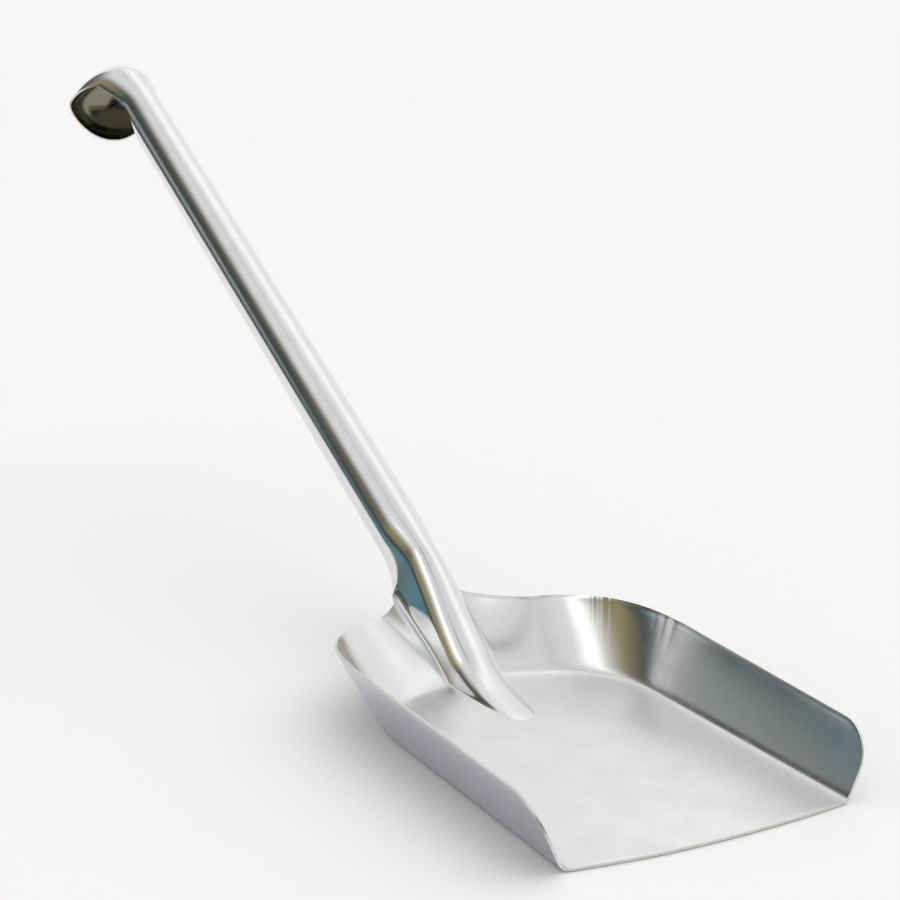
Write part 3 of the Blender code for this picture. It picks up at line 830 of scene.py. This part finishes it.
class HandleSpine:
    """Sections of the handle along its length, from the tip of its foot to the end of its tongue."""

    def __init__(self, pan, handle, seam):
        form = PanForm(pan)
        self.handle = handle
        self.foot = FootForm(pan, handle, form)
        self.radius = handle.tube_diameter / 2
        self.closed_turn = math.pi - handle.seam_width / handle.tube_diameter
        self.along = Vector((0, math.cos(handle.slope), math.sin(handle.slope)))
        self.above = Vector((0, -math.sin(handle.slope), math.cos(handle.slope)))
        self.start = Vector((0, form.crease_y, handle.rise))
        self.rows = []
        self.add_foot(seam)
        self.add_neck()
        self.add_opening()
        self.add_hook()

    def add(self, crest, edge, half_width, end_turn, bend=None, curl=0.0, straight=0.0, roll=0.0,
            lean=(0.0, 0.0), seam=0.0):
        """One section: its crest, the place of its edges, and how it swings between them."""
        self.rows.append({"crest": crest, "edge": edge, "half_width": half_width, "end_turn": end_turn,
                          "bend": end_turn if bend is None else bend, "curl": curl, "straight": straight,
                          "roll": roll, "lean": (lean[0], 0.0, lean[1]), "seam": seam})

    def shares(self, curl, straight):
        """Share across and share down of a section's edge."""
        bend = self.handle.side_bend
        over = math.sin(bend + curl) + straight * math.cos(bend)
        return over, 1 - math.cos(bend + curl) + straight * math.sin(bend)

    def add_foot(self, seam):
        """The arched foot, with its edges on the pan's seam."""
        handle = self.handle
        room = (self.closed_turn - handle.side_bend) / FULL_SIDE
        for place in seam[1:]:
            y = place.y
            middle = float(self.foot.drift(y))
            straight = float(self.foot.side(y))
            crest = Vector((middle, y, max(float(self.foot.crest(y)), place.z)))
            over, fall = self.shares(0.0, straight)
            self.half = place.x / over
            self.arch = (crest.z - place.z) / fall
            self.turn = handle.side_bend + room * straight
            lean = [float(value) for value in self.foot.lean(y)]
            edge = Vector((middle, y, place.z))
            self.add(crest, edge, self.half, self.turn, handle.side_bend, 0.0, straight,
                     float(self.foot.roll(y)), lean, 1.0)

    def add_neck(self):
        """The neck behind the rim, whose sides curl on under it until they close the tube."""
        handle = self.handle
        for step in range(1, NECK_ROWS + 1):
            closed = step / NECK_ROWS
            share = 1 - (1 - closed) ** handle.neck_power
            slow = float(ease(closed))
            y = self.foot.rim_y + handle.neck_length * closed
            crest = Vector((0, y, self.foot.tube_top(y)))
            curl = (self.closed_turn - handle.side_bend) * share
            straight = handle.rim_side * (1 - share)
            arch = blend(self.arch, self.radius / math.cos(handle.slope), slow)
            edge = crest - Vector((0, 0, arch * self.shares(curl, straight)[1]))
            roll = handle.rim_roll * float(ease(1 - NECK_FADE * closed))
            half_width = blend(self.half, self.radius, slow)
            turn = blend(self.turn, self.closed_turn, closed)
            self.add(crest, edge, half_width, turn, handle.side_bend, curl, straight, roll, (1.0, 1.0))

    def frame(self, travel):
        """Crest point and outward direction at a distance past the start of the curl, or before it."""
        handle = self.handle
        if travel <= 0:
            return self.start + self.along * (handle.length + travel), self.above
        turn = travel / handle.hook_radius
        outward = self.above * math.cos(turn) + self.along * math.sin(turn)
        centre = self.start + self.along * handle.length - handle.hook_radius * self.above
        return centre + handle.hook_radius * outward, outward

    def arc(self, travel, radius, half_turn, aside=0.0):
        """Section that is an arc, square to the strip."""
        crest, outward = self.frame(travel)
        crest = crest + Vector((aside, 0, 0))
        self.add(crest, crest - outward * radius * (1 - math.cos(half_turn)), radius, half_turn)

    def add_opening(self):
        """The straight tube, and its end, where the seam opens until a gutter is left."""
        handle = self.handle
        neck = self.rows[-1]
        start = -handle.gutter_length - handle.opening_length
        crest, outward = self.frame(start)
        edge = crest - outward * self.radius * (1 - math.cos(self.closed_turn))
        for step in range(1, TUBE_ROWS):
            share = step / TUBE_ROWS
            self.add(neck["crest"].lerp(crest, share), neck["edge"].lerp(edge, share), self.radius,
                     self.closed_turn)
        gutter_turn = math.asin(handle.gutter_width / handle.tube_diameter)
        for step in range(OPENING_ROWS + 1):
            share = step / OPENING_ROWS
            half_turn = blend(self.closed_turn, gutter_turn, float(ease(share)))
            self.arc(start + handle.opening_length * share, self.radius, half_turn)

    def add_hook(self):
        """The gutter curling over, widening, and rounding off into a tongue."""
        handle = self.handle
        gutter_half = handle.gutter_width / 2
        gutter_dish = self.radius - math.sqrt(self.radius ** 2 - gutter_half ** 2)
        back = handle.hook_radius * handle.tongue_turn
        travels = [-handle.gutter_length * (1 - step / GUTTER_ROWS) for step in range(1, GUTTER_ROWS + 1)]
        travels += [back * step / CURL_ROWS for step in range(1, CURL_ROWS + 1)]
        for travel in travels:
            share = float(ease((travel + handle.gutter_length) / (back + handle.gutter_length)))
            half = blend(gutter_half, handle.hook_width / 2 - handle.hook_drift, share)
            dish = blend(gutter_dish, handle.hook_dish, share)
            self.arc(travel, (half ** 2 + dish ** 2) / (2 * dish), 2 * math.atan2(dish, half),
                     -handle.hook_drift * share)
        half = handle.hook_width / 2 - handle.hook_drift
        radius = (half ** 2 + handle.hook_dish ** 2) / (2 * handle.hook_dish)
        last = math.acos(handle.tongue_end / (2 * half))
        for step in range(1, TONGUE_ROWS + 1):
            turn = last * step / TONGUE_ROWS
            travel = blend(back, handle.hook_radius * handle.hook_turn, math.sin(turn))
            self.arc(travel, radius, math.asin(half * math.cos(turn) / radius), -handle.hook_drift)

    def mesh(self):
        """Spine as loose vertices that carry their sections' values."""
        mesh = bpy.data.meshes.new("handle_spine")
        mesh.from_pydata([row["crest"] for row in self.rows], [], [])
        crests = np.array([row["crest"] for row in self.rows])
        steps = np.linalg.norm(np.diff(crests, axis=0), axis=1)
        columns = {"travel": np.concatenate([[0.0], np.cumsum(steps)])}
        for name in self.rows[0]:
            columns[name] = np.array([row[name] for row in self.rows])
        for name, values in columns.items():
            kind, field = ("FLOAT_VECTOR", "vector") if values.ndim > 1 else ("FLOAT", "value")
            stored = mesh.attributes.new(name, kind, "POINT")
            stored.data.foreach_set(field, values.astype(np.float32).ravel())
        return mesh


def mottle_group():
    """Shader group: uneven dullness of the plating, as a slow mottle and as fine rub marks."""
    nodes, start, end = new_tree(
        "plating_mottle", "ShaderNodeTree",
        [("Place", "NodeSocketVector"), ("Mottle Scale", "NodeSocketFloat"),
         ("Marks Scale", "NodeSocketFloat")],
        [("Mottle", "NodeSocketFloat"), ("Marks", "NodeSocketFloat")])
    mottle = nodes.add("ShaderNodeTexNoise", {"Vector": start.outputs["Place"], "Detail": 4.0,
                                              "Roughness": 0.62, "Scale": start.outputs["Mottle Scale"]})
    stretched = nodes.vector("MULTIPLY", start.outputs["Place"], (1.0, 0.06, 0.3))
    marks = nodes.add("ShaderNodeTexNoise", {"Vector": stretched, "Detail": 2.0, "Roughness": 0.7,
                                             "Scale": start.outputs["Marks Scale"]})
    nodes.put(end.inputs["Mottle"], nodes.ramp(mottle.outputs[0], 0.32, 0.68))
    nodes.put(end.inputs["Marks"], nodes.ramp(marks.outputs[0], 0.35, 0.75))
    return nodes.tree


def new_material(name):
    """Empty node material. Returns it with its nodes and its Principled shader."""
    material = bpy.data.materials.new(name)
    material.use_nodes = True
    return material, Nodes(material.node_tree), material.node_tree.nodes["Principled BSDF"]


def mottled(nodes, mottle, mottle_scale, marks_scale):
    """Mottle and rub marks of a finish, at their own scales."""
    place = nodes.add("ShaderNodeTexCoord").outputs["Object"]
    values = {"Place": place, "Mottle Scale": mottle_scale, "Marks Scale": marks_scale}
    group = nodes.add("ShaderNodeGroup", values, node_tree=mottle)
    return group.outputs["Mottle"], group.outputs["Marks"]


def zinc_material(name, tints, roughness, mottle, stain=None):
    """Bright zinc plating with an uneven gloss, and a stain along strained rims if one is given."""
    material, nodes, shader = new_material(name)
    spots, marks = mottled(nodes, mottle, 60.0, 500.0)
    base = nodes.mix(spots, (*tints[0], 1.0), (*tints[1], 1.0))
    if stain:
        rim = nodes.add("ShaderNodeAttribute", attribute_name="rim").outputs["Fac"]
        corner = nodes.add("ShaderNodeAttribute", attribute_name="corner").outputs["Fac"]
        travel = nodes.add("ShaderNodeAttribute", attribute_name="travel").outputs["Fac"]
        streak = nodes.add("ShaderNodeTexNoise", {"Scale": 60.0, "Detail": 3.0}, noise_dimensions="1D")
        nodes.put(streak.inputs["W"], travel)
        share = nodes.math("MULTIPLY", nodes.ramp(rim, 0.6, 1.0), corner)
        share = nodes.math("MULTIPLY", share, nodes.ramp(streak.outputs[0], 0.45, 0.7))
        base = nodes.mix(nodes.math("MULTIPLY", share, 0.6), base, (*stain, 1.0))
    nodes.put(shader.inputs["Base Color"], base)
    shader.inputs["Metallic"].default_value = 1.0
    if stain:
        roughness = nodes.ramp(rim, 0.0, 0.16, roughness * FLOOR_DULLNESS, roughness)
    gloss = nodes.math("MULTIPLY", nodes.ramp(spots, 0.0, 1.0, 1.1, 0.92), roughness)
    rubbed = nodes.ramp(marks, 0.0, 1.0, 1.0, 1.12)
    nodes.put(shader.inputs["Roughness"], nodes.math("MULTIPLY", gloss, rubbed))
    return material


def edge_material(finish, mottle):
    """Cut edge of the sheet, with the steel showing."""
    material, nodes, shader = new_material("raw_edge")
    spots, marks = mottled(nodes, mottle, 260.0, 1500.0)
    base = nodes.mix(spots, (*finish.raw_steel, 1.0), (*finish.zinc_dark, 1.0))
    nodes.put(shader.inputs["Base Color"], base)
    shader.inputs["Metallic"].default_value = 1.0
    nodes.put(shader.inputs["Roughness"], nodes.ramp(marks, 0.0, 1.0, 0.35, 0.5))
    return material


def shared(name, make, *values):
    """Material or node group of this name, made the first time that it is asked for."""
    found = bpy.data.materials.get(name) or bpy.data.node_groups.get(name)
    return found or make(*values)


def declare(item, node):
    """Tell the frame which solid a piece stands for."""
    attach(item, BODY)
    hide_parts(node)


class SHOVEL_OT_press_pan(bpy.types.Operator):
    """Press the pan from one sheet, with rolled creases and a gathered rim"""
    bl_idname = "shovel.press_pan"
    bl_label = "Press pan"

    def execute(self, context):
        pan = context.scene.shovel_pan
        finish = context.scene.shovel_finish
        mottle = shared("plating_mottle", mottle_group)
        tints = finish.zinc_dark, finish.zinc_light
        zinc = zinc_material("pan_zinc_finish", tints, finish.pan_gloss, mottle, finish.stain)
        shape, _ = pan_sheet(pan, context.scene.shovel_handle)
        mesh = bpy.data.meshes.new("pan_sheet")
        shape.to_mesh(mesh)
        shape.free()
        item = new_piece("pan_sheet", mesh)
        folds = pan.rear_round * QUARTER / pan.gather_spacing
        run_tree(item, gather_tree(), {"Depth": pan.gather_depth, "Folds": folds, "Seed": GATHER_SEED,
                                       "Finish": zinc})
        # Painted shade: a darker, lavender-tinted zinc for the pan's underside and outer walls
        darker = finish.zinc_shaded_underside, [value * UNDERSIDE_MOTTLE for value in finish.zinc_shaded_underside]
        underside = zinc_material("underside_zinc_painted_shade", darker, finish.pan_gloss, mottle)
        thicken(item, pan, underside, shared("raw_edge", edge_material, finish, mottle))
        declare(item, "pan")
        return {"FINISHED"}


class SHOVEL_OT_roll_handle(bpy.types.Operator):
    """Roll the handle from one strip: foot, neck, tube, gutter and hook"""
    bl_idname = "shovel.roll_handle"
    bl_label = "Roll handle"

    def execute(self, context):
        pan = context.scene.shovel_pan
        handle = context.scene.shovel_handle
        finish = context.scene.shovel_finish
        mottle = shared("plating_mottle", mottle_group)
        tints = finish.zinc_dark, finish.zinc_light
        zinc = zinc_material("handle_zinc_finish", tints, finish.handle_gloss, mottle)
        # Painted shade and painted olive reflection: a dark copy of the zinc for the inside of the strip
        darker = finish.zinc_shaded_inside, [value * INSIDE_MOTTLE for value in finish.zinc_shaded_inside]
        inside = zinc_material("inside_zinc_painted_shade", darker, finish.handle_gloss, mottle)
        shape, seam = pan_sheet(pan, handle)
        shape.free()
        item = new_piece("handle_strip", HandleSpine(pan, handle, seam).mesh())
        run_tree(item, strip_tree(), {"Columns": STRIP_COLUMNS, "Finish": zinc})
        thicken(item, pan, inside, shared("raw_edge", edge_material, finish, mottle))
        declare(item, "handle")
        return {"FINISHED"}


def studio_world(stage):
    """World that is a pale backdrop to the camera, soft light to matt surfaces and a studio to metal."""
    world = bpy.data.worlds.new("studio")
    world.use_nodes = True
    nodes = Nodes(world.node_tree)
    background = world.node_tree.nodes["Background"]
    way = nodes.add("ShaderNodeSeparateXYZ", {0: nodes.add("ShaderNodeTexCoord").outputs["Generated"]})
    right, back, up = way.outputs
    leftward = nodes.math("ARCTAN2", nodes.math("MULTIPLY", right, -1.0), back)
    height = nodes.math("ARCSINE", up)

    def between(value, low, high, soft):
        rise = nodes.ramp(value, math.radians(low - soft), math.radians(low + soft))
        fall = nodes.ramp(value, math.radians(high - soft), math.radians(high + soft))
        return nodes.math("SUBTRACT", rise, fall)

    def climb(low, high, first=0.0, last=1.0):
        return nodes.ramp(height, math.radians(low), math.radians(high), first, last)

    def patched(base, patches):
        for start, end, low, high, soft, tint in patches:
            mask = nodes.math("MULTIPLY", between(leftward, start, end, soft),
                              between(height, low, high, soft))
            base = nodes.mix(mask, base, (*tint, 1.0))
        return base

    sky = nodes.mix(climb(18, 75), (0.96, 0.96, 0.955, 1), (0.83, 0.825, 0.81, 1))
    sky = patched(sky, SKY_PATCHES)
    across = nodes.math("DIVIDE", right, nodes.math("MAXIMUM", up, 0.2))
    gap = nodes.math("MULTIPLY", between(across, -4.5, 0.5, 2.0), climb(55, 66))
    sky = nodes.mix(gap, sky, nodes.mix(climb(72, 84), (0.74, 0.735, 0.72, 1), (0.36, 0.36, 0.35, 1)))
    flag = nodes.mix(climb(2, 16), (0.115, 0.148, 0.15, 1), (0.054, 0.074, 0.070, 1))
    flag = nodes.mix(climb(24, 37), flag, (0.11, 0.108, 0.08, 1))
    flag = patched(flag, FLAG_PATCHES)
    sky = nodes.mix(nodes.math("MULTIPLY", between(leftward, 12, 104, 5), climb(36, 60, 1.0, 0.0)), sky, flag)
    room = nodes.mix(climb(9, 14), (0.42, 0.35, 0.13, 1), (0.04, 0.042, 0.04, 1))
    room = patched(room, ROOM_PATCHES)
    turned = nodes.math("ABSOLUTE", leftward)
    behind = nodes.ramp(turned, math.radians(112), math.radians(122))
    sky = nodes.mix(nodes.math("MULTIPLY", behind, climb(26, 44, 1.0, 0.0)), sky, room)
    path = nodes.add("ShaderNodeLightPath")
    seen = nodes.mix(path.outputs["Is Diffuse Ray"], sky, (*stage.ambience, 1.0))
    seen = nodes.mix(path.outputs["Is Camera Ray"], seen, (*stage.backdrop, 1.0))
    nodes.put(background.inputs["Color"], seen)
    background.inputs["Strength"].default_value = 1.0
    bpy.context.scene.world = world


def floor_material(stage):
    """Matt pale floor with a very faint unevenness."""
    material, nodes, shader = new_material("studio_floor")
    place = nodes.add("ShaderNodeTexCoord").outputs["Object"]
    cloud = nodes.add("ShaderNodeTexNoise", {"Vector": place, "Scale": 1.5, "Detail": 2.0})
    pale = (*stage.floor_tint, 1.0)
    darker = (*[value * 0.985 for value in stage.floor_tint], 1.0)
    nodes.put(shader.inputs["Base Color"], nodes.mix(cloud.outputs[0], darker, pale))
    shader.inputs["Roughness"].default_value = 1.0
    shader.inputs["Specular IOR Level"].default_value = 0.0
    return material


class SHOVEL_OT_set_stage(bpy.types.Operator):
    """Set the floor, the light and the camera"""
    bl_idname = "shovel.set_stage"
    bl_label = "Set stage"

    def execute(self, context):
        stage = context.scene.shovel_stage
        context.scene.view_settings.view_transform = "Standard"
        studio_world(stage)
        half = stage.floor_size / 2
        mesh = bpy.data.meshes.new("studio_floor")
        level = CAD_BOX[0][2] - FLOOR_GAP
        mesh.from_pydata([(-half, -half, level), (half, -half, level), (half, half, level),
                          (-half, half, level)], [], [(0, 1, 2, 3)])
        mesh.materials.append(floor_material(stage))
        new_piece("studio_floor", mesh)
        key = bpy.data.lights.new("key", "SUN")
        key.energy = stage.key_strength
        key.color = stage.key_tint
        key.angle = stage.key_softness
        lamp = new_piece("key", key)
        lamp.rotation_euler = (QUARTER - stage.key_height, 0, stage.key_side)
        lamp.visible_glossy = False
        camera = new_piece("camera", bpy.data.cameras.new("camera"))
        camera.data.lens = stage.camera_lens
        camera.data.sensor_width = CAMERA_FRAME
        camera.location = stage.camera_place
        camera.rotation_euler = (QUARTER - stage.camera_dip, 0, -stage.camera_turn)
        context.scene.camera = camera
        return {"FINISHED"}


class SHOVEL_PT_panel(bpy.types.Panel):
    """Lists the shovel's operators and sizes"""
    bl_idname = "SHOVEL_PT_panel"
    bl_label = "Scoop shovel"
    bl_space_type = "VIEW_3D"
    bl_region_type = "UI"
    bl_category = "Shovel"

    def draw(self, context):
        layout = self.layout
        for operator in OPERATORS:
            layout.operator(operator.bl_idname)
        for name in GROUPS:
            box = layout.box()
            settings = getattr(context.scene, name)
            for key in settings.__annotations__:
                box.prop(settings, key)


GROUPS = {
    "shovel_pan": ShovelPan,
    "shovel_handle": ShovelHandle,
    "shovel_finish": ShovelFinish,
    "shovel_stage": ShovelStage,
}
OPERATORS = (SHOVEL_OT_set_stage, SHOVEL_OT_press_pan, SHOVEL_OT_roll_handle)
CLASSES = (*GROUPS.values(), *OPERATORS, SHOVEL_PT_panel)


def register():
    """Register the classes and hang the property groups on the scene."""
    for entry in CLASSES:
        bpy.utils.register_class(entry)
    for name, group in GROUPS.items():
        setattr(bpy.types.Scene, name, PointerProperty(type=group))


def unregister():
    """Take the property groups and the classes away again."""
    for name in GROUPS:
        delattr(bpy.types.Scene, name)
    for entry in reversed(CLASSES):
        bpy.utils.unregister_class(entry)


def main():
    """Register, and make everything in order."""
    register()
    bpy.ops.shovel.set_stage()
    bpy.ops.shovel.press_pan()
    bpy.ops.shovel.roll_handle()


if __name__ == "__main__":
    main()
